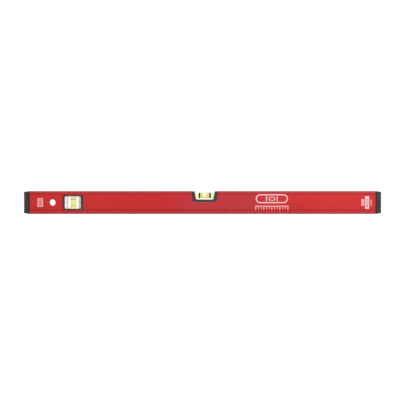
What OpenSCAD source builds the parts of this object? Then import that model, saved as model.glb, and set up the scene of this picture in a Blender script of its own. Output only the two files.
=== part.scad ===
// Box-section spirit level of the 80 cm class, with a centre vial and a plumb vial.
// Millimetres. +X runs along the beam to the right, the front looks to -Y and +Z is up.
// The origin is the middle of the lower measuring face.

/* [Beam] */
// Length of the level over both end caps
level_length = 800; // [600:10:1200]
// Height between the lower and the upper measuring face
beam_height = 51; // [50:0.5:56]
// Depth of the beam from front to back
beam_depth = 21; // [20.5:0.5:24]
// Thickness of the front and back walls
side_wall = 2; // [1.6:0.1:2.2]
// Thickness of the walls that carry the measuring faces
rail_wall = 2.6; // [2:0.1:3.2]
// Radius of the four long outer edges
edge_radius = 1.2; // [1:0.1:2]
// Width of the long grooves in the front and the back
groove_width = 4.5; // [3:0.1:5]
// Depth of the long grooves
groove_depth = 0.75; // [0.4:0.05:0.9]
// From the upper measuring face down to the upper groove
upper_groove_drop = 4.4; // [3.6:0.1:5]
// From the lower measuring face up to the lower groove
lower_groove_rise = 5.5; // [5:0.1:7]

/* [End caps] */
// Length of the rubber bumper of an end cap
bumper_length = 10; // [8:0.5:14]
// Thickness of the hard flange between bumper and beam
flange_thickness = 3; // [2:0.5:4]
// How far the plug of an end cap reaches into the beam
plug_reach = 20; // [14:1:28]
// Height of a bumper at its outer end
bumper_end_height = 47.4; // [47:0.2:49.4]
// Depth of a bumper at its outer end
bumper_end_depth = 19.4; // [17:0.2:19.8]

/* [Hang hole] */
// From the left end of the level to the middle of the hang hole
hang_hole_inset = 63.6; // [60:0.2:70]
// Bore of the sleeve that lines the hang hole
hang_bore = 14; // [8:0.2:15]
// Wall of that sleeve
sleeve_wall = 0.9; // [0.8:0.1:1.5]

/* [Plumb vial] */
// From the left end of the level to the middle of the plumb window
plumb_inset = 109.4; // [106:0.2:180]
// Width of the plumb window cut through the beam
plumb_window_width = 46; // [44.5:0.5:48]
// Height of the plumb window
plumb_window_height = 34; // [34:0.5:36]
// Width of the clear view inside the bezel
plumb_view_width = 36; // [34:0.1:39]
// Height of the clear view inside the bezel
plumb_view_height = 28; // [27:0.1:30.2]
// Outer diameter of the plumb vial
plumb_vial_diameter = 14; // [13:0.2:14]
// From the middle of the plumb window to the axis of the vial, to the right
plumb_vial_shift = 1.6; // [0:0.1:1.8]
// Height of the air pocket in the plumb vial
plumb_bubble_height = 4.8; // [3:0.1:6]

/* [Centre vial] */
// Middle of the centre vial, to the right of the origin
centre_offset = 4.8; // [-10:0.1:10]
// Width of the notch in the upper measuring face
notch_top_width = 58.8; // [56:0.2:60]
// Width of the notch at its floor
notch_floor_width = 54; // [49:0.2:54]
// Depth of the notch below the upper measuring face
notch_depth = 24.9; // [24:0.1:26]
// Width of the clear view at the upper measuring face
centre_view_top_width = 45.8; // [44:0.2:48]
// Width of the clear view at its lower edge
centre_view_floor_width = 38.8; // [37:0.2:40]
// From the upper measuring face down to the lower edge of the clear view
centre_view_drop = 18.9; // [17:0.1:20]
// Outer diameter of the centre vial
centre_vial_diameter = 13.4; // [12.8:0.2:13.4]
// Length of the centre vial
centre_vial_length = 40; // [38:0.5:41]
// From the upper measuring face down to the axis of the centre vial
centre_vial_drop = 9.8; // [9.6:0.1:10.5]
// Length of the bubble in the centre vial
bubble_length = 12; // [9:0.1:12.4]

/* [Vial insides] */
// Bore of both vials at their middle
vial_bore = 10.6; // [9.8:0.1:10.6]
// How much narrower the bore is at its ends
barrel_taper = 0.3; // [0.1:0.05:0.5]
// Distance between the two fine reading lines
reading_line_spacing = 13.4; // [13.2:0.1:14.5]
// Width of a fine reading line
reading_line_width = 0.7; // [0.4:0.1:0.8]
// Distance between the two broad contrast bands of the centre vial
contrast_band_spacing = 23.8; // [22.5:0.1:25]
// Width of a contrast band
contrast_band_width = 3.8; // [2:0.1:4]

/* [Hidden] */
$fn = 64;

// Gaps and reaches shared by all pieces
over = 1;            // how far a cutter reaches past a surface
fit = 0.1;           // gap around a piece that sits in an opening
slip = 0.05;         // gap between faces that rest on each other
face_recess = 0.1;   // how far inserts lie below the front and back of the beam
top_recess = 0.4;    // how far the centre insert lies below the upper measuring face

// Beam
beam_length = level_length - 2 * (bumper_length + flange_thickness);
beam_end = beam_length / 2;
middle_z = beam_height / 2;
cavity_depth = beam_depth - 2 * side_wall;
cavity_height = beam_height - 2 * rail_wall;
cavity_radius = 1.2;
groove_flank = 0.9;  // run of each sloped flank of a groove
groove_middles = [
    lower_groove_rise + groove_width / 2,
    beam_height - upper_groove_drop - groove_width / 2,
];
insert_face = beam_depth / 2 - face_recess;

// End caps
cap_trim = 0.4;      // how much smaller a cap is than the beam
cap_depth = beam_depth - cap_trim;
cap_height = beam_height - cap_trim;
plug_gap = 0.6;      // gap between the plug and the walls of the beam
plug_wall = 1.6;
rib_gap = 0.1;       // gap left over the crush ribs
rib_width = 1.2;
rib_lead = 2;        // length of the sloped front of a rib
rib_start = 2;       // from the tip of the plug to a rib
rib_spread = 12;     // side ribs, above and below the middle
rib_root = 0.3;      // how deep a rib is rooted in the plug
boss_depth = 12;
boss_height = 38;
boss_length = 5;
boss_radius = 2;
bumper_edge_radius = 2.6;
bumper_tip_radius = 1.2;
grip_groove_pitch = 7;
grip_groove_width = 1.6;
grip_groove_depth = 0.8;

// Hang hole
hang_hole_x = hang_hole_inset - level_length / 2;
sleeve_diameter = hang_bore + 2 * sleeve_wall;

// Plumb unit
plumb_x = plumb_inset - level_length / 2;
window_radius = 3.5;
view_radius = 2.5;
bezel_width = plumb_window_width - 2 * fit;
bezel_height = plumb_window_height - 2 * fit;
bezel_back = cavity_depth / 2 - 0.5;   // plane of the bezel's back, from the middle
lens_thickness = 1.1;
lens_back = bezel_back + fit;
lens_face = lens_back + lens_thickness;
lens_overlap = 1.1;                    // how far the lens reaches behind the bezel
lens_radius = 1.9;
plumb_carrier_half = bezel_back - fit;
plumb_carrier_width = bezel_width - 0.3;
plumb_carrier_height = bezel_height - 0.2;
plumb_carrier_radius = 3;
light_slot_width = 13;
light_slot_height = plumb_view_height + 0.6;
vial_channel_gap = 0.15;               // gap between a vial and its channel
shadow_groove_x = 14;                  // from the vial's axis
shadow_groove_width = 5.2;
shadow_groove_depth = 2.4;
hook_height = 8;                       // height of a snap hook along the window's edge
hook_root_x = bezel_width / 2 - 1.75;
hook_grip = 0.9;                       // how far a hook catches behind the wall
hook_face = cavity_depth / 2 - slip;
hook_tip = bezel_back - 2.6;
plumb_vial_length = plumb_carrier_height - 0.4;

// Centre unit, measured up from the floor of the notch
notch_floor_z = beam_height - notch_depth;
notch_slope = (notch_top_width - notch_floor_width) / 2 / notch_depth;
notch_radius = 5.2;
frame_top = notch_depth - top_recess;
frame_wall = 2;
rim_thickness = 1.5;
cover_top = frame_top - fit;
cover_thickness = 1.3;
cover_face = insert_face - rim_thickness - fit;
cover_inner = cover_face - cover_thickness;
centre_carrier_half = cover_inner - fit;
centre_carrier_top = cover_top - cover_thickness - 0.2;
post_inner_x = 14.5;                   // inner face of the posts that hold the vial's ends
saddle_top = 8.9;
centre_vial_z = notch_depth - centre_vial_drop;
tab_x = 15;
tab_width = 5;
tab_grip = 1.2;
tab_root = 0.4;                        // how deep a tab is rooted in the frame
tab_thickness = 0.9;
tab_ramp = 1;

// Vial insides
vial_floor = 1.7;
vial_plug_length = 1.7;
bore_middle_r = vial_bore / 2;
bore_end_r = (vial_bore - barrel_taper) / 2;
line_depth = 0.4;                      // how deep lines and bands are set into the bore
film = 0.1;                            // gap between liquid and bore
air_gap = 0.15;                        // gap between a bubble and the bore
bubble_width = 10;
bubble_floor = 0.2;                    // underside of the centre bubble, above the axis
bubble_end_radius = 4.9;
plumb_bubble_top = plumb_vial_length / 2 - vial_plug_length - fit;

// Colours
beam_red = [0.77, 0.21, 0.21];
frame_black = [0.16, 0.15, 0.15];
cap_grey = [0.2, 0.2, 0.2];
bumper_grey = [0.27, 0.27, 0.27];
carrier_white = [0.95, 0.94, 0.92];
clear_plastic = [0.9, 0.95, 0.97, 0.35];
vial_yellow = [0.95, 0.93, 0.55, 0.7];
bubble_pale = [1, 0.99, 0.9, 0.6];
line_black = [0.08, 0.08, 0.05];

// ---- Shapes that several pieces share ----

// Extrudes an outline along X; its x becomes Y and its y becomes Z
module along_x(start, end) {
    translate([start, 0, 0]) rotate([90, 0, 90]) linear_extrude(end - start) children();
}

// Extrudes an outline along Y; its x stays X and its y becomes Z
module along_y(start, end) {
    translate([0, end, 0]) rotate([90, 0, 0]) linear_extrude(end - start) children();
}

// Extrudes an outline along Z
module along_z(start, end) {
    translate([0, 0, start]) linear_extrude(end - start) children();
}

// Draws its children once as they are and once mirrored front to back
module front_and_back() {
    for (turn = [0, 1]) mirror([0, turn, 0]) children();
}

// Draws its children once as they are and once mirrored left to right
module left_and_right() {
    for (turn = [0, 1]) mirror([turn, 0, 0]) children();
}

// Rounded rectangle around the origin
module rounded_rectangle(width, height, radius) {
    square([width - 2 * radius, height], center = true);
    square([width, height - 2 * radius], center = true);
    for (x = [-1, 1], y = [-1, 1])
        translate([x * (width / 2 - radius), y * (height / 2 - radius)]) circle(radius);
}

// Trapezoid that stands on the x axis, widens upwards and has its two lower corners rounded
module rounded_trapezoid(lower_width, upper_width, height, radius) {
    slope = (upper_width - lower_width) / 2 / height;
    slant = sqrt(1 + slope * slope);
    arc_x = lower_width / 2 + (slope - slant) * radius;
    tangent_x = arc_x + radius / slant;
    tangent_y = radius * (1 - slope / slant);
    polygon([
        [-arc_x, 0], [arc_x, 0], [tangent_x, tangent_y], [upper_width / 2, height],
        [-upper_width / 2, height], [-tangent_x, tangent_y],
    ]);
    for (side = [-1, 1]) translate([side * arc_x, radius]) circle(radius);
}

// Outline parallel to the notch's, narrower by inset on each side, between two heights
module notch_outline(inset, bottom, top, radius) {
    translate([0, bottom]) rounded_trapezoid(
        notch_floor_width + 2 * notch_slope * bottom - 2 * inset,
        notch_floor_width + 2 * notch_slope * top - 2 * inset,
        top - bottom,
        radius
    );
}

// Places its children around the middle of the plumb window
module at_plumb() {
    translate([plumb_x, 0, middle_z]) children();
}

// Places its children over the floor of the notch
module at_notch() {
    translate([centre_offset, 0, notch_floor_z]) children();
}

// Stands a vial drawn along Z in the plumb unit, its plug at the top
module at_plumb_vial() {
    at_plumb() translate([plumb_vial_shift, 0, 0]) children();
}

// Lays a vial drawn along Z into the centre unit, its plug to the right
module at_centre_vial() {
    at_notch() translate([0, 0, centre_vial_z]) rotate([0, 90, 0]) children();
}

// ---- Beam and hang hole ----

// Cutter for one groove: the face of the beam is at x = 0 and the groove runs into -x
module groove_cutter() {
    half = groove_width / 2;
    flare = over * groove_flank / groove_depth;
    polygon([
        [-groove_depth, groove_flank - half], [over, -half - flare],
        [over, half + flare], [-groove_depth, half - groove_flank],
    ]);
}

module beam_section() {
    difference() {
        translate([0, middle_z]) difference() {
            rounded_rectangle(beam_depth, beam_height, edge_radius);
            rounded_rectangle(cavity_depth, cavity_height, cavity_radius);
        }
        for (turn = [0, 1], height = groove_middles)
            mirror([turn, 0]) translate([beam_depth / 2, height]) groove_cutter();
    }
}

module beam() {
    color(beam_red) difference() {
        along_x(-beam_end, beam_end) beam_section();
        at_notch() along_y(-beam_depth, beam_depth)
            notch_outline(0, 0, notch_depth + over, notch_radius);
        at_plumb() along_y(-beam_depth, beam_depth)
            rounded_rectangle(plumb_window_width, plumb_window_height, window_radius);
        translate([hang_hole_x, 0, middle_z]) rotate([90, 0, 0])
            cylinder(d = sleeve_diameter + 2 * slip, h = 2 * beam_depth, center = true);
    }
}

module hang_hole_sleeve() {
    color(beam_red) translate([hang_hole_x, 0, middle_z]) rotate([90, 0, 0]) difference() {
        cylinder(d = sleeve_diameter, h = 2 * insert_face, center = true);
        cylinder(d = hang_bore, h = 2 * insert_face + 2 * over, center = true);
    }
}

// ---- Vials, drawn along Z with the plug at the top ----

// Barrel-shaped space in a vial, smaller than the bore by gap
module vial_space(length, gap) {
    bottom = vial_floor + gap - length / 2;
    top = length / 2 - vial_plug_length - gap;
    rotate_extrude() polygon([
        [0, bottom], [bore_end_r - gap, bottom], [bore_middle_r - gap, 0],
        [bore_end_r - gap, top], [0, top],
    ]);
}

// Pair of rings set into the bore
module bore_rings(spacing, width, inner_r, outer_r) {
    for (side = [-1, 1]) translate([0, 0, side * spacing / 2]) difference() {
        cylinder(r = outer_r, h = width, center = true);
        cylinder(r = inner_r, h = width + 2 * over, center = true);
    }
}

// Pair of seats for such rings
module ring_seats(spacing, width) {
    for (side = [-1, 1]) translate([0, 0, side * spacing / 2])
        cylinder(r = bore_middle_r + line_depth + slip, h = width + 2 * slip, center = true);
}

module vial_tube(diameter, length) {
    difference() {
        cylinder(d = diameter, h = length, center = true);
        vial_space(length, 0);
        translate([0, 0, length / 2 - vial_plug_length])
            cylinder(r = bore_end_r, h = vial_plug_length + over);
        ring_seats(reading_line_spacing, reading_line_width);
    }
}

module vial_plug(length) {
    translate([0, 0, length / 2 - vial_plug_length])
        cylinder(r = bore_end_r - slip, h = vial_plug_length - slip);
}

module reading_rings() {
    bore_rings(reading_line_spacing, reading_line_width, bore_middle_r, bore_middle_r + line_depth);
}

// ---- Plumb unit ----

// Snap hook on the right edge of the front bezel
module bezel_hook() {
    edge = bezel_width / 2;
    root = bezel_back + 0.2;
    along_z(-hook_height / 2, hook_height / 2) polygon([
        [hook_root_x, -root], [edge - 0.2, -root], [edge - 0.2, -hook_face],
        [edge + hook_grip, -hook_face], [edge - 0.4, -hook_tip], [hook_root_x, -hook_tip],
    ]);
}

module plumb_bezel() {
    difference() {
        along_y(-insert_face, -bezel_back)
            rounded_rectangle(bezel_width, bezel_height, window_radius - fit);
        along_y(-insert_face - over, over - bezel_back)
            rounded_rectangle(plumb_view_width, plumb_view_height, view_radius);
        along_y(-lens_face - fit, over - bezel_back) rounded_rectangle(
            plumb_view_width + 2 * (lens_overlap + fit),
            plumb_view_height + 2 * (lens_overlap - fit),
            lens_radius + fit
        );
    }
    left_and_right() bezel_hook();
}

module plumb_bezel_front() {
    color(frame_black) at_plumb() plumb_bezel();
}

module plumb_bezel_back() {
    color(frame_black) at_plumb() mirror([0, 1, 0]) plumb_bezel();
}

module plumb_lens() {
    along_y(-lens_face, -lens_back) rounded_rectangle(
        plumb_view_width + 2 * lens_overlap,
        plumb_view_height + 2 * (lens_overlap - 2 * fit),
        lens_radius
    );
}

module plumb_lens_front() {
    color(clear_plastic) at_plumb() plumb_lens();
}

module plumb_lens_back() {
    color(clear_plastic) at_plumb() mirror([0, 1, 0]) plumb_lens();
}

// White block with a channel for the vial, open to the light before and behind it
module plumb_carrier() {
    hook_room = 0.3;
    color(carrier_white) difference() {
        at_plumb() along_y(-plumb_carrier_half, plumb_carrier_half)
            rounded_rectangle(plumb_carrier_width, plumb_carrier_height, plumb_carrier_radius);
        at_plumb_vial() {
            cylinder(
                d = plumb_vial_diameter + 2 * vial_channel_gap,
                h = plumb_carrier_height + 2 * over,
                center = true
            );
            cube([light_slot_width, beam_depth, light_slot_height], center = true);
            front_and_back() left_and_right() translate([
                shadow_groove_x - shadow_groove_width / 2, -beam_depth, -plumb_window_height / 2
            ]) cube([
                shadow_groove_width, beam_depth - plumb_carrier_half + shadow_groove_depth,
                plumb_window_height
            ]);
        }
        at_plumb() front_and_back() left_and_right()
            translate([hook_root_x - hook_room, -beam_depth, -hook_height / 2 - hook_room])
                cube([bezel_width, beam_depth - hook_tip + hook_room, hook_height + 2 * hook_room]);
    }
}

module plumb_vial_tube() {
    color(clear_plastic) at_plumb_vial() vial_tube(plumb_vial_diameter, plumb_vial_length);
}

module plumb_vial_plug() {
    color(clear_plastic) at_plumb_vial() vial_plug(plumb_vial_length);
}

module plumb_reading_rings() {
    color(line_black) at_plumb_vial() reading_rings();
}

module plumb_bubble() {
    color(bubble_pale) at_plumb_vial() translate([0, 0, plumb_bubble_top - plumb_bubble_height])
        cylinder(r = bore_end_r - air_gap, h = plumb_bubble_height);
}

module plumb_vial_liquid() {
    liquid_top = plumb_bubble_top - plumb_bubble_height - slip;
    color(vial_yellow) at_plumb_vial() difference() {
        vial_space(plumb_vial_length, film);
        translate([0, 0, liquid_top]) cylinder(r = plumb_vial_diameter, h = plumb_vial_length);
    }
}

// ---- Centre unit ----

// Tab under the front half of the frame that catches behind the front wall
module frame_tab() {
    along_x(tab_x - tab_width / 2, tab_x + tab_width / 2) polygon([
        [-hook_face, tab_root], [-hook_face, -tab_grip],
        [tab_thickness - hook_face, -tab_grip],
        [tab_thickness + tab_ramp - hook_face, tab_root],
    ]);
}

module centre_frame() {
    difference() {
        along_y(-insert_face, -slip) notch_outline(fit, fit, frame_top, notch_radius - fit);
        along_y(-insert_face - over, over)
            translate([0, notch_depth - centre_view_drop]) rounded_trapezoid(
                centre_view_floor_width, centre_view_top_width, centre_view_drop, view_radius
            );
        along_y(rim_thickness - insert_face, over)
            notch_outline(frame_wall + fit, frame_wall + fit, notch_depth, view_radius);
    }
    left_and_right() frame_tab();
}

module centre_frame_front() {
    color(frame_black) at_notch() centre_frame();
}

module centre_frame_back() {
    color(frame_black) at_notch() mirror([0, 1, 0]) centre_frame();
}

// Clear saddle: a front pane, a back pane and the pane over the vial
module centre_cover_lens() {
    inset = frame_wall + 2 * fit;
    color(clear_plastic) at_notch() difference() {
        along_y(-cover_face, cover_face) notch_outline(inset, inset, cover_top, view_radius);
        translate([-notch_top_width, -cover_inner, -over])
            cube([2 * notch_top_width, 2 * cover_inner, over + cover_top - cover_thickness]);
    }
}

// White block with two posts that hold the ends of the vial, open over the vial
module centre_carrier() {
    inset = frame_wall + 3 * fit;
    channel_r = centre_vial_diameter / 2 + fit;
    channel_length = centre_vial_length + 2 * fit;
    color(carrier_white) at_notch() difference() {
        along_y(-centre_carrier_half, centre_carrier_half)
            notch_outline(inset, inset, centre_carrier_top, view_radius);
        translate([-post_inner_x, -beam_depth, saddle_top])
            cube([2 * post_inner_x, 2 * beam_depth, notch_depth]);
        translate([0, 0, centre_vial_z]) rotate([0, 90, 0])
            cylinder(r = channel_r, h = channel_length, center = true);
        translate([-channel_length / 2, -channel_r, centre_vial_z])
            cube([channel_length, 2 * channel_r, notch_depth]);
    }
}

module centre_vial_tube() {
    color(clear_plastic) at_centre_vial() difference() {
        vial_tube(centre_vial_diameter, centre_vial_length);
        ring_seats(contrast_band_spacing, contrast_band_width);
    }
}

module centre_vial_plug() {
    color(clear_plastic) at_centre_vial() vial_plug(centre_vial_length);
}

module centre_reading_rings() {
    color(line_black) at_centre_vial() reading_rings();
}

module centre_contrast_bands() {
    color(line_black) at_centre_vial() bore_rings(
        contrast_band_spacing, contrast_band_width, bore_middle_r, bore_middle_r + line_depth
    );
}

// Air over the middle of the vial: round on top like the bore, flat below, with round ends
module centre_bubble() {
    air_r = bore_end_r - air_gap;
    color(bubble_pale) at_notch() translate([0, 0, centre_vial_z]) intersection() {
        rotate([0, 90, 0]) cylinder(r = air_r, h = bubble_length + 2 * over, center = true);
        along_z(bubble_floor, vial_bore)
            rounded_rectangle(bubble_length, bubble_width, bubble_end_radius);
    }
}

module centre_vial_liquid() {
    color(vial_yellow) difference() {
        at_centre_vial() vial_space(centre_vial_length, film);
        at_notch() translate([0, 0, centre_vial_z + bubble_floor - fit])
            along_z(0, vial_bore) rounded_rectangle(
                bubble_length + 2 * fit, vial_bore + 2 * fit, bubble_end_radius + 3 * fit
            );
    }
}

// ---- End caps, drawn for the right end ----

// Rib that faces +y at the given wall of the beam
module crush_rib(wall) {
    tip = beam_end - plug_reach + rib_start;
    surface = wall - plug_gap;
    crest = wall - rib_gap;
    along_z(-rib_width / 2, rib_width / 2) polygon([
        [tip, surface - rib_root], [tip, surface], [tip + rib_lead, crest],
        [beam_end - slip, crest], [beam_end - slip, surface - rib_root],
    ]);
}

module cap_core() {
    plug_depth = cavity_depth - 2 * plug_gap;
    plug_height = cavity_height - 2 * plug_gap;
    flange_start = beam_end + slip;
    flange_end = beam_end + flange_thickness;
    translate([0, 0, middle_z]) {
        difference() {
            union() {
                along_x(flange_start, flange_end)
                    rounded_rectangle(cap_depth, cap_height, edge_radius);
                along_x(beam_end - plug_reach, flange_start + over)
                    rounded_rectangle(plug_depth, plug_height, cavity_radius);
                along_x(flange_end - over, flange_end + boss_length)
                    rounded_rectangle(boss_depth, boss_height, boss_radius);
            }
            along_x(beam_end - plug_reach - over, beam_end) rounded_rectangle(
                plug_depth - 2 * plug_wall, plug_height - 2 * plug_wall, cavity_radius
            );
        }
        for (height = [-rib_spread, rib_spread])
            translate([0, 0, height]) front_and_back() crush_rib(cavity_depth / 2);
        rotate([90, 0, 0]) front_and_back() crush_rib(cavity_height / 2);
    }
}

module cap_bumper() {
    root = beam_end + flange_thickness + slip;
    tip = level_length / 2;
    length = tip - root;
    translate([0, 0, middle_z]) difference() {
        intersection() {
            along_x(root, tip) rounded_rectangle(cap_depth, cap_height, bumper_edge_radius);
            along_y(-beam_depth, beam_depth) translate([tip, 0]) rotate(90)
                rounded_trapezoid(bumper_end_height, cap_height, length, bumper_tip_radius);
            along_z(-beam_height, beam_height) translate([tip, 0]) rotate(90)
                rounded_trapezoid(bumper_end_depth, cap_depth, length, bumper_tip_radius);
        }
        along_x(root - over, root + boss_length + fit) rounded_rectangle(
            boss_depth + 2 * fit, boss_height + 2 * fit, boss_radius + fit
        );
        for (step = [-2:2]) translate([tip, 0, step * grip_groove_pitch])
            cube([2 * grip_groove_depth, 2 * beam_depth, grip_groove_width], center = true);
    }
}

module left_cap_core() {
    color(cap_grey) mirror([1, 0, 0]) cap_core();
}

module left_cap_bumper() {
    color(bumper_grey) mirror([1, 0, 0]) cap_bumper();
}

module right_cap_core() {
    color(cap_grey) cap_core();
}

module right_cap_bumper() {
    color(bumper_grey) cap_bumper();
}

beam();
hang_hole_sleeve();
plumb_bezel_front();
plumb_bezel_back();
plumb_lens_front();
plumb_lens_back();
plumb_carrier();
plumb_vial_tube();
plumb_vial_plug();
plumb_reading_rings();
plumb_vial_liquid();
plumb_bubble();
centre_frame_front();
centre_frame_back();
centre_cover_lens();
centre_carrier();
centre_vial_tube();
centre_vial_plug();
centre_reading_rings();
centre_contrast_bands();
centre_vial_liquid();
centre_bubble();
left_cap_core();
left_cap_bumper();
right_cap_core();
right_cap_bumper();
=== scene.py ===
import math

import bmesh
import bpy
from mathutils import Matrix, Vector


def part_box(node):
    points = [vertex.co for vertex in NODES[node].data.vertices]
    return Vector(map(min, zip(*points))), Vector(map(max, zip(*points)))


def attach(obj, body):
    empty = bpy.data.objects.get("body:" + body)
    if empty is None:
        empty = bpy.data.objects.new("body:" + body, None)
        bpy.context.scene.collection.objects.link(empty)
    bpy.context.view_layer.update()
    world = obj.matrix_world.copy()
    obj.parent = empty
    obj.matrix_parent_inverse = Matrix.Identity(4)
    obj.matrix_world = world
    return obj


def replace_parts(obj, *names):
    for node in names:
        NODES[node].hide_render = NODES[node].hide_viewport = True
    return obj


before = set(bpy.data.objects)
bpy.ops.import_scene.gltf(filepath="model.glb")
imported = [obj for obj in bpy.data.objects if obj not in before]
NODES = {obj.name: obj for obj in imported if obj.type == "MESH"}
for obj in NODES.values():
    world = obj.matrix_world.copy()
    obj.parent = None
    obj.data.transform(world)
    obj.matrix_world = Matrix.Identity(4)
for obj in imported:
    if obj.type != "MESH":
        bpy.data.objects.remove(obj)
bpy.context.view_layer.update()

MM = 0.001


# ---- Places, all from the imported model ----

def middle(node):
    low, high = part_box(node)
    return (low + high) / 2


def extent(node):
    low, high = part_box(node)
    return high - low


BEAM_LOW, BEAM_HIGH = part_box("beam")
FRONT_Y = BEAM_LOW.y
BACK_Y = BEAM_HIGH.y
BEAM_HEIGHT = BEAM_HIGH.z - BEAM_LOW.z
MIDDLE_Z = (BEAM_LOW.z + BEAM_HIGH.z) / 2


# ---- Node trees ----

def new_tree(name):
    material = bpy.data.materials.new(name)
    material.use_nodes = True
    material.node_tree.nodes.clear()
    return material, material.node_tree


def add(tree, kind, inputs=None, **settings):
    """A node with its settings, whose inputs are filled with values or linked to sockets."""
    node = tree.nodes.new(kind)
    for name, value in settings.items():
        setattr(node, name, value)
    for key, value in (inputs or {}).items():
        if isinstance(value, bpy.types.NodeSocket):
            tree.links.new(value, node.inputs[key])
        else:
            node.inputs[key].default_value = value
    return node


def rgb(red, green, blue):
    """A colour given as it looks on a screen, from 0 to 255, as linear light."""
    def linear(value):
        share = value / 255
        return share / 12.92 if share <= 0.04045 else ((share + 0.055) / 1.055) ** 2.4
    return (linear(red), linear(green), linear(blue), 1.0)


def place(tree):
    return add(tree, "ShaderNodeTexCoord").outputs["Object"]


def maths(tree, operation, *values):
    inputs = dict(enumerate(values))
    return add(tree, "ShaderNodeMath", inputs, operation=operation).outputs[0]


def noise(tree, size, detail=2.0, stretch=(1, 1, 1)):
    """Noise with features about size metres across."""
    mapping = add(tree, "ShaderNodeMapping", {"Vector": place(tree), "Scale": stretch})
    inputs = {"Vector": mapping.outputs[0], "Scale": 1 / size, "Detail": detail}
    return add(tree, "ShaderNodeTexNoise", inputs).outputs[0]


def away_from(tree, value, level):
    return maths(tree, "ABSOLUTE", maths(tree, "SUBTRACT", value, level))


def times(tree, first, second):
    return maths(tree, "MULTIPLY", first, second)


def spread(tree, value, low, high, new_low, new_high):
    """Goes smoothly from new_low to new_high while value goes from low to high."""
    inputs = {"Value": value, "From Min": low, "From Max": high, "To Min": new_low, "To Max": new_high}
    return add(tree, "ShaderNodeMapRange", inputs, interpolation_type="SMOOTHSTEP").outputs[0]


def mixed(tree, share, first, second, blend="MIX"):
    node = add(tree, "ShaderNodeMix", data_type="RGBA", blend_type=blend)
    for key, value in ((0, share), (6, first), (7, second)):
        if isinstance(value, bpy.types.NodeSocket):
            tree.links.new(value, node.inputs[key])
        else:
            node.inputs[key].default_value = value
    return node.outputs[2]


def bump(tree, height, distance, strength=1.0):
    inputs = {"Height": height, "Distance": distance, "Strength": strength}
    return add(tree, "ShaderNodeBump", inputs).outputs[0]


def finish_material(material, tree, shader):
    output = add(tree, "ShaderNodeOutputMaterial")
    tree.links.new(shader, output.inputs["Surface"])
    return material


# ---- Materials ----

BEAM_GROOVE_HALF = 2.25 * MM          # half the width of a long groove
BEAM_GROOVE_MIDDLES = (7.75 * MM, BEAM_HEIGHT - 6.65 * MM)
RAIL_BAND = 4.4 * MM                  # from a measuring face to the nearer groove
DULL_REFLECTION_X = 45 * MM                     # middle of the stretch of coat with a painted dull reflection
DULL_REFLECTION_CORE = 45 * MM                  # half of its evenly dull part
DULL_REFLECTION_REACH = 150 * MM                # half of the whole stretch
LIQUID_LIGHT_FADE = 4.5 * MM                  # width over which the painted light from the liquid fades out
SHADOW_GROOVE_START = 10.4 * MM       # from the plumb vial's axis
HEAD_ON_MIRROR = 0.02                 # mirror share of clear plastic seen square on


def along_grooves(tree, height):
    """1 at the height of a long groove of the beam, 0 elsewhere."""
    shares = []
    for level in BEAM_GROOVE_MIDDLES:
        away = away_from(tree, height, level)
        start, end = BEAM_GROOVE_HALF - 0.5 * MM, BEAM_GROOVE_HALF + 0.3 * MM
        shares.append(spread(tree, away, start, end, 1, 0))
    return maths(tree, "MAXIMUM", *shares)


def coat_colour(tree):
    """Red with faint patches, a painted dull reflection, and painted shade in the grooves and at the
    long edges.
    """
    axes = add(tree, "ShaderNodeSeparateXYZ", {0: place(tree)})
    side = maths(tree, "ABSOLUTE", axes.outputs["Y"])
    height = axes.outputs["Z"]
    patches = spread(tree, noise(tree, 90 * MM, 3.0), 0.3, 0.7, 0, 1)
    colour = mixed(tree, patches, rgb(170, 22, 23), rgb(176, 26, 27))
    # painted dull reflection: a greyer red over a stretch of the beam's length
    from_dull_reflection = away_from(tree, axes.outputs["X"], DULL_REFLECTION_X)
    dull_reflection = spread(tree, from_dull_reflection, DULL_REFLECTION_CORE, DULL_REFLECTION_REACH, 1, 0)
    colour = mixed(tree, dull_reflection, colour, rgb(164, 35, 42))
    on_side = spread(tree, side, BACK_Y - 1.2 * MM, BACK_Y - 0.9 * MM, 0, 1)
    # painted shade in the long grooves on both faces
    groove_shade = times(tree, along_grooves(tree, height), on_side)
    colour = mixed(tree, times(tree, groove_shade, 0.5), colour, rgb(152, 20, 25))
    # painted shade on the strips between the grooves and the measuring faces
    from_rail = maths(tree, "MINIMUM", height, maths(tree, "SUBTRACT", BEAM_HEIGHT, height))
    rail_shade = spread(tree, from_rail, RAIL_BAND - 0.4 * MM, RAIL_BAND + 0.6 * MM, 1, 0)
    side_rail_shade = times(tree, rail_shade, on_side)
    colour = mixed(tree, times(tree, side_rail_shade, 0.7), colour, rgb(151, 50, 56))
    # painted shade on the rounded long edges, broken into streaks
    on_edge = times(tree, spread(tree, from_rail, 0.3 * MM, 1.6 * MM, 1, 0), on_side)
    edge_shade_streaks = spread(tree, noise(tree, 5 * MM, 6.0, (0.25, 1, 1)), 0.4, 0.68, 0.5, 0.95)
    return mixed(tree, times(tree, on_edge, edge_shade_streaks), colour, rgb(118, 34, 37))


def powder_coat():
    """Red powder coat with fine orange peel."""
    material, tree = new_tree("red_powder_coat")
    peel = noise(tree, 0.9 * MM, 2.0)
    shader = add(tree, "ShaderNodeBsdfPrincipled", {
        "Base Color": coat_colour(tree),
        "Roughness": spread(tree, noise(tree, 14 * MM, 4.0), 0.3, 0.7, 0.36, 0.46),
        "Specular IOR Level": 0.25,
        "Normal": bump(tree, peel, 0.03 * MM, 0.6),
    })
    return finish_material(material, tree, shader.outputs[0])


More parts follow.
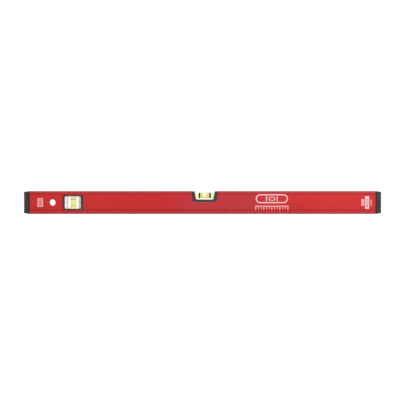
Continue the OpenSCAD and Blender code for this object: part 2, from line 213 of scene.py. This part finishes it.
def moulded(name, colour, light, roughness, grain=0.35 * MM, depth=0.02 * MM, specular=0.4):
    """Injection-moulded plastic or rubber: fine spark texture and slightly uneven colour."""
    material, tree = new_tree(name)
    clouds = spread(tree, noise(tree, 7 * MM, 4.0), 0.3, 0.7, 0, 1)
    texture = noise(tree, grain, 3.0)
    shader = add(tree, "ShaderNodeBsdfPrincipled", {
        "Base Color": mixed(tree, clouds, colour, light),
        "Roughness": spread(tree, texture, 0.3, 0.7, roughness - 0.05, roughness + 0.07),
        "Specular IOR Level": specular,
        "Normal": bump(tree, texture, depth, 0.7),
    })
    return finish_material(material, tree, shader.outputs[0])


def carrier_white(name, vial, along, plain, painted_liquid_light, reach):
    """White plastic tinted by painted light and shade from the liquid beside the vial, with painted
    shade in the plumb unit's grooves.
    """
    material, tree = new_tree(name)
    axes = add(tree, "ShaderNodeSeparateXYZ", {0: place(tree)})
    centre, size = middle(vial), extent(vial)

    def distance(axis):
        return away_from(tree, axes.outputs[axis], centre["XYZ".index(axis)])

    across = distance("X" if along == "Z" else "Z")
    lengthways = distance(along)
    half = size["XYZ".index(along)] / 2
    # painted light and shade from the liquid on the carrier beside the vial
    beside = spread(tree, across, reach - LIQUID_LIGHT_FADE, reach, 1, 0)
    liquid_light_share = times(tree, beside, spread(tree, lengthways, half - 1 * MM, half + 3 * MM, 1, 0))
    clouds = spread(tree, noise(tree, 7 * MM, 4.0), 0.3, 0.7, 0, 1)
    colour = mixed(tree, times(tree, clouds, 0.04), plain, (1, 1, 1, 1))
    colour = mixed(tree, times(tree, liquid_light_share, 0.85), colour, painted_liquid_light)
    if along == "Z":
        face = extent("plumb_carrier").y / 2
        # painted shade in the plumb carrier's grooves, fading out away from the middle of the vial's
        # height
        from_middle = maths(tree, "ABSOLUTE", axes.outputs["Y"])
        sunk = spread(tree, from_middle, face - 2 * MM, face - 0.5 * MM, 1, 0)
        outside = spread(tree, across, SHADOW_GROOVE_START, SHADOW_GROOVE_START + 1 * MM, 0, 1)
        half_way_up = spread(tree, lengthways, 3 * MM, 14 * MM, 1, 0)
        carrier_groove_shade = times(tree, sunk, times(tree, outside, half_way_up))
        colour = mixed(tree, carrier_groove_shade, colour, rgb(206, 204, 205))
    texture = noise(tree, 0.3 * MM, 3.0)
    shader = add(tree, "ShaderNodeBsdfPrincipled", {
        "Base Color": colour,
        "Roughness": spread(tree, texture, 0.3, 0.7, 0.3, 0.42),
        "Specular IOR Level": 0.4,
        "Normal": bump(tree, texture, 0.01 * MM, 0.7),
    })
    return finish_material(material, tree, shader.outputs[0])


def clear_plastic(name, face_tint, edge_tint):
    """Clear acrylic: tinted more towards its edges, and more of a mirror at grazing angles."""
    material, tree = new_tree(name)
    normal = bump(tree, noise(tree, 12 * MM, 2.0), 0.02 * MM, 0.3)
    facing = add(tree, "ShaderNodeLayerWeight", {"Blend": 0.5, "Normal": normal}).outputs["Facing"]
    tint = mixed(tree, spread(tree, facing, 0.15, 0.85, 0, 1), face_tint, edge_tint)
    open_shader = add(tree, "ShaderNodeBsdfTransparent", {"Color": tint})
    gloss = add(tree, "ShaderNodeBsdfGlossy", {
        "Color": (1, 1, 1, 1),
        "Roughness": spread(tree, noise(tree, 3 * MM, 5.0), 0.3, 0.8, 0.03, 0.1),
        "Normal": normal,
    })
    grazing = maths(tree, "POWER", facing, 5.0)
    mirror = maths(tree, "ADD", times(tree, grazing, 1 - HEAD_ON_MIRROR), HEAD_ON_MIRROR)
    both = add(tree, "ShaderNodeMixShader", {0: mirror, 1: open_shader.outputs[0], 2: gloss.outputs[0]})
    return finish_material(material, tree, both.outputs[0])


def filling(name, colour, light, rim_shade, tint, least, most, painted_glow):
    """Liquid or air in a vial: tints what is behind it, darkens towards its edges with painted shade,
    and gives off painted light of its own colour.
    """
    material, tree = new_tree(name)
    clouds = spread(tree, noise(tree, 5 * MM, 3.0), 0.3, 0.7, 0, 1)
    facing = add(tree, "ShaderNodeLayerWeight", {"Blend": 0.5}).outputs["Facing"]
    body_colour = mixed(tree, clouds, colour, light)
    # painted shade where the body is seen edge-on
    body_colour = mixed(tree, spread(tree, facing, 0.6, 0.95, 0, 1), body_colour, rim_shade)
    body = add(tree, "ShaderNodeBsdfPrincipled", {
        "Base Color": body_colour,
        "Roughness": 0.15,
        "Specular IOR Level": 0.2,
        # painted light: the body glows in its own colour
        "Emission Color": body_colour,
        "Emission Strength": painted_glow,
    })
    open_shader = add(tree, "ShaderNodeBsdfTransparent", {"Color": tint})
    share = spread(tree, facing, 0.1, 1.0, least, most)
    both = add(tree, "ShaderNodeMixShader", {0: share, 1: open_shader.outputs[0], 2: body.outputs[0]})
    return finish_material(material, tree, both.outputs[0])


def print_ink(name, full, thin):
    """Screen print, a little thin in places so that what is below it shows through."""
    material, tree = new_tree(name)
    thinness = spread(tree, noise(tree, 1.4 * MM, 5.0), 0.42, 0.7, 0.0, 0.5)
    shader = add(tree, "ShaderNodeBsdfPrincipled", {
        "Base Color": mixed(tree, thinness, full, thin),
        "Roughness": 0.5,
        "Specular IOR Level": 0.3,
        "Normal": bump(tree, noise(tree, 0.5 * MM, 3.0), 0.01 * MM, 0.4),
    })
    return finish_material(material, tree, shader.outputs[0])


def studio_white(name, shade):
    material, tree = new_tree(name)
    clouds = spread(tree, noise(tree, 1.5, 2.0), 0.3, 0.7, 0, 1)
    duller = shade * 0.99
    colour = mixed(tree, clouds, (shade, shade, shade, 1), (duller, duller, duller, 1))
    shader = add(tree, "ShaderNodeBsdfDiffuse", {"Color": colour})
    return finish_material(material, tree, shader.outputs[0])


# ---- Pieces ----

def dress(obj, material):
    obj.data.materials.clear()
    obj.data.materials.append(material)


def new_piece(name, mesh_maker, material, body):
    mesh = bpy.data.meshes.new(name)
    shape = bmesh.new()
    mesh_maker(shape)
    shape.normal_update()
    bmesh.ops.recalc_face_normals(shape, faces=shape.faces)
    shape.to_mesh(mesh)
    shape.free()
    piece = bpy.data.objects.new(name, mesh)
    bpy.context.scene.collection.objects.link(piece)
    mesh.materials.append(material)
    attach(piece, body)
    return piece


def smooth_by_angle(shape, degrees):
    for face in shape.faces:
        face.smooth = True
    for edge in shape.edges:
        edge.smooth = len(edge.link_faces) == 2 and edge.calc_face_angle(0) < math.radians(degrees)


def softened(node, width, body, material, segments=2):
    """A copy of a CAD node with its sharp edges rounded, which stands for the node."""
    def build(shape):
        shape.from_mesh(NODES[node].data)
        bmesh.ops.remove_doubles(shape, verts=shape.verts, dist=0.002 * MM)
        bmesh.ops.dissolve_limit(
            shape, angle_limit=math.radians(0.5), verts=shape.verts, edges=shape.edges
        )
        sharp = [
            edge for edge in shape.edges
            if len(edge.link_faces) == 2 and edge.calc_face_angle(0) > math.radians(35)
        ]
        bmesh.ops.bevel(
            shape, geom=sharp, offset=width, segments=segments, profile=0.5,
            affect="EDGES", clamp_overlap=True,
        )
        smooth_by_angle(shape, 30)
    piece = new_piece(node + "_soft", build, material, body)
    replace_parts(piece, node)
    return piece


def lathed(profile, axis, centre, steps=64):
    """Surface of revolution of (radius, height) points about X or Z through centre."""
    def build(shape):
        rings = []
        for radius, height in profile:
            ring = []
            for step in range(steps if radius > 0 else 1):
                turn = 2 * math.pi * step / steps
                across, up = radius * math.cos(turn), radius * math.sin(turn)
                offset = (height, across, up) if axis == "X" else (across, up, height)
                ring.append(shape.verts.new(centre + Vector(offset)))
            rings.append(ring)
        for lower, upper in zip(rings, rings[1:]):
            for step in range(steps):
                after = (step + 1) % steps
                corners = [lower[step % len(lower)], lower[after % len(lower)],
                           upper[after % len(upper)], upper[step % len(upper)]]
                unique = list(dict.fromkeys(corners))
                if len(unique) > 2:
                    shape.faces.new(unique)
        smooth_by_angle(shape, 40)
    return build


LIQUID_INSET = 0.15 * MM      # from the CAD liquid to the drawn one
BARREL_WAIST = 0.1 * MM       # how much narrower the liquid is at its ends
BUBBLE_SWELL = 0.1 * MM       # from the CAD bubble to the drawn one


def vial_fill(liquid, tube, axis):
    """Barrel of liquid that fills the bore from its floor to its plug."""
    low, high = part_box(liquid)
    along = "XYZ".index(axis)
    centre = middle(tube)
    half = centre[along] - low[along]
    radius = (high.y - low.y) / 2 - LIQUID_INSET
    narrow = radius - BARREL_WAIST
    edge = 0.5 * MM
    steps = 10
    profile = [(0, -half), (narrow - edge, -half)]
    for step in range(-steps, steps + 1):
        share = step / steps
        profile.append((radius - BARREL_WAIST * share ** 2, (half - edge) * share))
    profile += [(narrow - edge, half), (0, half)]
    return lathed(profile, axis, centre)


def resting_bubble(shape):
    """Bubble under the top of a level vial: round like the bore above, flat below, thin at its ends."""
    low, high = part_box("centre_bubble")
    centre = Vector(((low.x + high.x) / 2, 0, middle("centre_vial_tube").z))
    radius = high.z - centre.z + BUBBLE_SWELL
    floor = low.z - centre.z
    half = (high.x - low.x) / 2
    stations, arc_steps, chord_steps = 14, 16, 8
    ends, rings = [], []
    for station in range(-stations, stations + 1):
        turn = math.pi / 2 * station / stations
        x = half * math.sin(turn)
        if abs(station) == stations:
            ends.append(shape.verts.new(centre + Vector((x, 0, radius))))
            continue
        thick = math.cos(turn) ** 0.75
        chord = radius - (radius - floor) * thick
        reach = math.acos(chord / radius)
        ring = []
        for step in range(arc_steps + 1):
            angle = -reach + 2 * reach * step / arc_steps
            ring.append((radius * math.sin(angle), radius * math.cos(angle)))
        width = radius * math.sin(reach)
        for step in range(1, chord_steps):
            share = 1 - 2 * step / chord_steps
            ring.append((width * share, chord + 0.35 * MM * thick * share * share))
        rings.append([shape.verts.new(centre + Vector((x, y, z))) for y, z in ring])
    count = arc_steps + chord_steps
    for left, right in zip(rings, rings[1:]):
        for step in range(count):
            after = (step + 1) % count
            shape.faces.new((left[step], left[after], right[after], right[step]))
    for tip, ring in ((ends[0], rings[0]), (ends[1], rings[-1])):
        for step in range(count):
            shape.faces.new((tip, ring[step], ring[(step + 1) % count]))
    smooth_by_angle(shape, 50)


def rising_bubble():
    """Air pocket under the plug of the upright vial, with a curved underside."""
    low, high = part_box("plumb_bubble")
    centre = middle("plumb_bubble")
    radius = (high.x - low.x) / 2 + BUBBLE_SWELL
    half = (high.z - low.z) / 2
    edge = 0.7 * MM
    sag = 1.3 * MM
    chamfer = 0.3 * edge
    profile = [
        (0, half),
        (radius - edge, half),
        (radius - chamfer, half - chamfer),
        (radius, half - edge),
    ]
    steps = 8
    for step in range(steps):
        share = step / steps
        profile.append((radius * math.sqrt(1 - share ** 2), -half + sag * (1 - share)))
    profile.append((0, -half))
    return lathed(profile, "Z", centre)


# ---- Screen print: a level symbol, a scale and small marks, with no lettering ----

PRINT_LAYER = 0.05 * MM
TOP_PRINT_LAYER = 0.08 * MM       # of a print that lies on another one


def rounded_loop(x, z, width, height, radius, steps=6):
    points = []
    for quarter, (sx, sz) in enumerate(((1, 1), (-1, 1), (-1, -1), (1, -1))):
        for step in range(steps + 1):
            angle = math.pi / 2 * (quarter + step / steps)
            points.append((
                x + sx * (width / 2 - radius) + radius * math.cos(angle),
                z + sz * (height / 2 - radius) + radius * math.sin(angle),
            ))
    return points


def bar(x, z, width, height):
    return rounded_loop(x, z, width, height, min(width, height) * 0.2, 3)


def level_symbol():
    """A level vial with its bubble and lines, over a graduated bar."""
    loops = [
        rounded_loop(0, 8.5, 72, 20, 9.9, 10),
        rounded_loop(0, 8.5, 67.2, 15.2, 7.5, 10),
        rounded_loop(0, 8.5, 15, 8.4, 4.1, 8),
        rounded_loop(0, 8.5, 11.8, 5.2, 2.5, 8),
        bar(-12, 8.5, 2.2, 11),
        bar(12, 8.5, 2.2, 11),
        bar(0, -8.2, 76, 1.6),
    ]
    for step in range(-6, 7):
        tall = 6.5 if step % 3 == 0 else 4
        loops.append(bar(6 * step, -10.3 - tall / 2, 1.5, tall))
    return loops


def plumb_symbol():
    """An upright vial in a frame."""
    return [
        rounded_loop(0, 0, 12, 19, 1.5),
        rounded_loop(0, 0, 8.8, 15.8, 0.9),
        rounded_loop(0, 0, 6.4, 13.4, 3.1, 8),
        rounded_loop(0, 0, 4.2, 11.2, 2, 8),
        rounded_loop(0, 2.8, 2.4, 2.4, 1.15, 5),
        bar(0, -1.4, 3, 0.9),
    ]


def end_plate():
    """A plate between three upright strokes and a row of dashes."""
    loops = [rounded_loop(0, 0, 8.8, 28.6, 1.2)]
    loops += [bar(-9.6 + 2.2 * step, 0.2, 1.4, 14.8) for step in (-1, 0, 1)]
    loops += [bar(8.7, -0.6 + 2.9 * step, 1.9, 2.2) for step in range(-2, 3)]
    return loops


def end_marks():
    """Dark marks on that plate: a ring, a bar and a capsule."""
    return [
        rounded_loop(0, 5.6, 4.4, 4.4, 2.15, 8),
        rounded_loop(0, 5.6, 2, 2, 0.95, 8),
        bar(0, 0.2, 6.8, 1.5),
        rounded_loop(0, -7, 4.4, 6.4, 2.15, 8),
        rounded_loop(0, -7, 2, 4, 0.95, 6),
    ]


def printed(name, loops, x, z, facing, material, layer=PRINT_LAYER):
    """A thin layer of ink on the front (facing -1) or the back (1); a loop in a loop is a hole."""
    curve = bpy.data.curves.new(name, "CURVE")
    curve.dimensions = "2D"
    curve.fill_mode = "BOTH"
    curve.extrude = layer / MM / 2
    for loop in loops:
        spline = curve.splines.new("POLY")
        spline.points.add(len(loop) - 1)
        for point, (across, up) in zip(spline.points, loop):
            point.co = (across, up, 0, 1)
        spline.use_cyclic_u = True
    holder = bpy.data.objects.new(name + "_outline", curve)
    bpy.context.scene.collection.objects.link(holder)
    bpy.context.view_layer.update()
    flat = bpy.data.meshes.new_from_object(holder.evaluated_get(bpy.context.evaluated_depsgraph_get()))
    bpy.data.objects.remove(holder)

    def build(shape):
        shape.from_mesh(flat)
        bmesh.ops.remove_doubles(shape, verts=shape.verts, dist=0.001)
        face = BACK_Y if facing > 0 else FRONT_Y
        for vert in shape.verts:
            across, up, out = vert.co
            vert.co = (x - facing * across * MM, face + out * MM, z + up * MM)
    piece = new_piece(name, build, material, "beam")
    bpy.data.meshes.remove(flat)
    return piece


# ---- Dress the level ----

RED = powder_coat()
BLACK = moulded("black_plastic", rgb(48, 31, 31), rgb(56, 39, 39), 0.42)
DARK = moulded("dark_cap_plastic", rgb(42, 25, 24), rgb(49, 32, 31), 0.55, specular=0.15)
RUBBER = moulded("grey_rubber", rgb(50, 47, 48), rgb(58, 55, 56), 0.66, 0.5 * MM, 0.05 * MM, 0.12)
LINE = moulded("black_line", rgb(18, 16, 0), rgb(28, 26, 4), 0.6, specular=0.1)
PANE = clear_plastic("clear_pane", (0.99, 0.995, 1, 1), (0.96, 0.975, 0.98, 1))
TUBE = clear_plastic("clear_tube", (1, 0.998, 0.975, 1), (0.95, 0.94, 0.76, 1))
# liquid and air bodies, each with painted shade at its edges and painted light of its own
LIQUID = filling(
    "yellow_vial_liquid", rgb(243, 237, 158), rgb(247, 242, 172), rim_shade=rgb(232, 222, 138),
    tint=rgb(251, 248, 212), least=0.2, most=0.65, painted_glow=0.12,
)
LEVEL_AIR = filling(
    "level_vial_air", rgb(255, 250, 214), rgb(255, 252, 226), rim_shade=rgb(168, 158, 74),
    tint=(1, 0.99, 0.92, 1), least=0.5, most=0.95, painted_glow=0.15,
)
PLUMB_AIR = filling(
    "plumb_vial_air", rgb(252, 230, 196), rgb(255, 238, 210), rim_shade=rgb(226, 186, 128),
    tint=(1, 0.97, 0.9, 1), least=0.75, most=0.9, painted_glow=0.25,
)
WHITE_INK = print_ink("white_print", rgb(218, 180, 181), rgb(208, 148, 151))
BLACK_INK = print_ink("black_print", rgb(70, 40, 42), rgb(96, 54, 56))

dress(NODES["beam"], RED)
dress(NODES["hang_hole_sleeve"], RED)
for name in ("plumb_bezel_front", "plumb_bezel_back", "centre_frame_front", "centre_frame_back"):
    softened(name, 0.25 * MM, "beam", BLACK)
for name in ("plumb_lens_front", "plumb_lens_back", "centre_cover_lens"):
    softened(name, 0.15 * MM, "beam", PANE)
# each carrier's plain white, the painted light and shade from its liquid, and how far from the vial's
# axis that reaches
for vial, along, plain, painted_liquid_light, reach in (
    ("plumb", "Z", rgb(246, 243, 240), rgb(250, 245, 206), 11.2 * MM),
    ("centre", "X", rgb(250, 246, 212), rgb(229, 223, 190), 7.8 * MM),
):
    white = carrier_white(vial + "_carrier_white", vial + "_vial_tube", along, plain, painted_liquid_light, reach)
    softened(vial + "_carrier", 0.2 * MM, "beam", white)
for side in ("left", "right"):
    softened(side + "_cap_core", 0.15 * MM, side + "_end_cap", DARK)
    softened(side + "_cap_bumper", 0.35 * MM, side + "_end_cap", RUBBER, 3)
for name in ("plumb_vial_tube", "plumb_vial_plug", "centre_vial_tube", "centre_vial_plug"):
    dress(NODES[name], TUBE)
for name in ("plumb_reading_rings", "centre_reading_rings", "centre_contrast_bands"):
    dress(NODES[name], LINE)

for vial, axis in (("plumb", "Z"), ("centre", "X")):
    liquid = new_piece(
        vial + "_liquid_fill", vial_fill(vial + "_vial_liquid", vial + "_vial_tube", axis),
        LIQUID, "beam",
    )
    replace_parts(liquid, vial + "_vial_liquid")
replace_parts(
    new_piece("centre_air", resting_bubble, LEVEL_AIR, "centre_bubble"), "centre_bubble"
)
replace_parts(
    new_piece("plumb_air", rising_bubble(), PLUMB_AIR, "plumb_bubble"), "plumb_bubble"
)

PLUMB_SYMBOL_X = BEAM_LOW.x + 23.5 * MM
LEVEL_SYMBOL_X = 155 * MM
END_SYMBOL_X = BEAM_HIGH.x - 18.7 * MM
for facing, face in ((-1, "front"), (1, "back")):
    for name, loops, x in (
        ("plumb_symbol_", plumb_symbol(), PLUMB_SYMBOL_X),
        ("level_symbol_", level_symbol(), LEVEL_SYMBOL_X),
        ("end_plate_", end_plate(), END_SYMBOL_X),
    ):
        printed(name + face, loops, x, MIDDLE_Z, facing, WHITE_INK)
    printed(
        "end_marks_" + face, end_marks(), END_SYMBOL_X, MIDDLE_Z, facing,
        BLACK_INK, TOP_PRINT_LAYER,
    )


# ---- Studio ----

ROOM_LIGHT = 1.2              # strength of the room as a light
ROOM_REFLECTION = 0.45        # as mirrored by the level
ROOM_SEEN = 1.06              # as seen behind the level
VIEW_WIDTH = 906.6 * MM       # width of the picture at the front of the beam
VIEW_X = -0.2 * MM
CAMERA_DISTANCE = 4.0
SENSOR = 36.0
FLOOR_WHITE = 0.93

camera_data = bpy.data.cameras.new("camera")
camera_data.sensor_width = SENSOR
camera_data.lens = SENSOR * CAMERA_DISTANCE / VIEW_WIDTH
camera_data.clip_end = 200
camera = bpy.data.objects.new("camera", camera_data)
camera.location = (VIEW_X, FRONT_Y - CAMERA_DISTANCE, MIDDLE_Z)
camera.rotation_euler = (math.pi / 2, 0, 0)
bpy.context.scene.collection.objects.link(camera)
bpy.context.scene.camera = camera

floor_mesh = bpy.data.meshes.new("floor")
floor_half, floor_z = 30.0, -0.0003
floor_mesh.from_pydata(
    [(-floor_half, -floor_half, floor_z), (floor_half, -floor_half, floor_z),
     (floor_half, floor_half, floor_z), (-floor_half, floor_half, floor_z)],
    [], [(0, 1, 2, 3)],
)
floor_mesh.materials.append(studio_white("floor_white", FLOOR_WHITE))
floor = bpy.data.objects.new("floor", floor_mesh)
bpy.context.scene.collection.objects.link(floor)

world = bpy.data.worlds.new("studio")
bpy.context.scene.world = world
world.use_nodes = True
background = world.node_tree.nodes["Background"]
background.inputs["Color"].default_value = (1.0, 1.0, 1.0, 1)
ray = add(world.node_tree, "ShaderNodeLightPath").outputs
lit = spread(world.node_tree, ray["Is Glossy Ray"], 0, 1, ROOM_LIGHT, ROOM_REFLECTION)
seen = spread(world.node_tree, ray["Is Camera Ray"], 0, 1, lit, ROOM_SEEN)
world.node_tree.links.new(seen, background.inputs["Strength"])


def soft_light(name, location, size, watts):
    data = bpy.data.lights.new(name, "AREA")
    data.shape = "RECTANGLE"
    data.size, data.size_y = size
    data.energy = watts
    light = bpy.data.objects.new(name, data)
    light.location = location
    light.rotation_mode = "QUATERNION"
    aim = Vector((0, 0, MIDDLE_Z)) - Vector(location)
    light.rotation_quaternion = aim.to_track_quat("-Z", "Y")
    bpy.context.scene.collection.objects.link(light)


soft_light("key", location=(0.95, -1.1, 0.35), size=(0.8, 0.6), watts=6.5)
soft_light("front_strip", location=(0, -1.0, 1.3), size=(1.1, 0.06), watts=2)
soft_light("back_strip", location=(0, 1.0, 1.3), size=(1.1, 0.06), watts=2)

scene = bpy.context.scene
scene.view_settings.view_transform = "Standard"
scene.cycles.transparent_max_bounces = 32
scene.cycles.max_bounces = 16
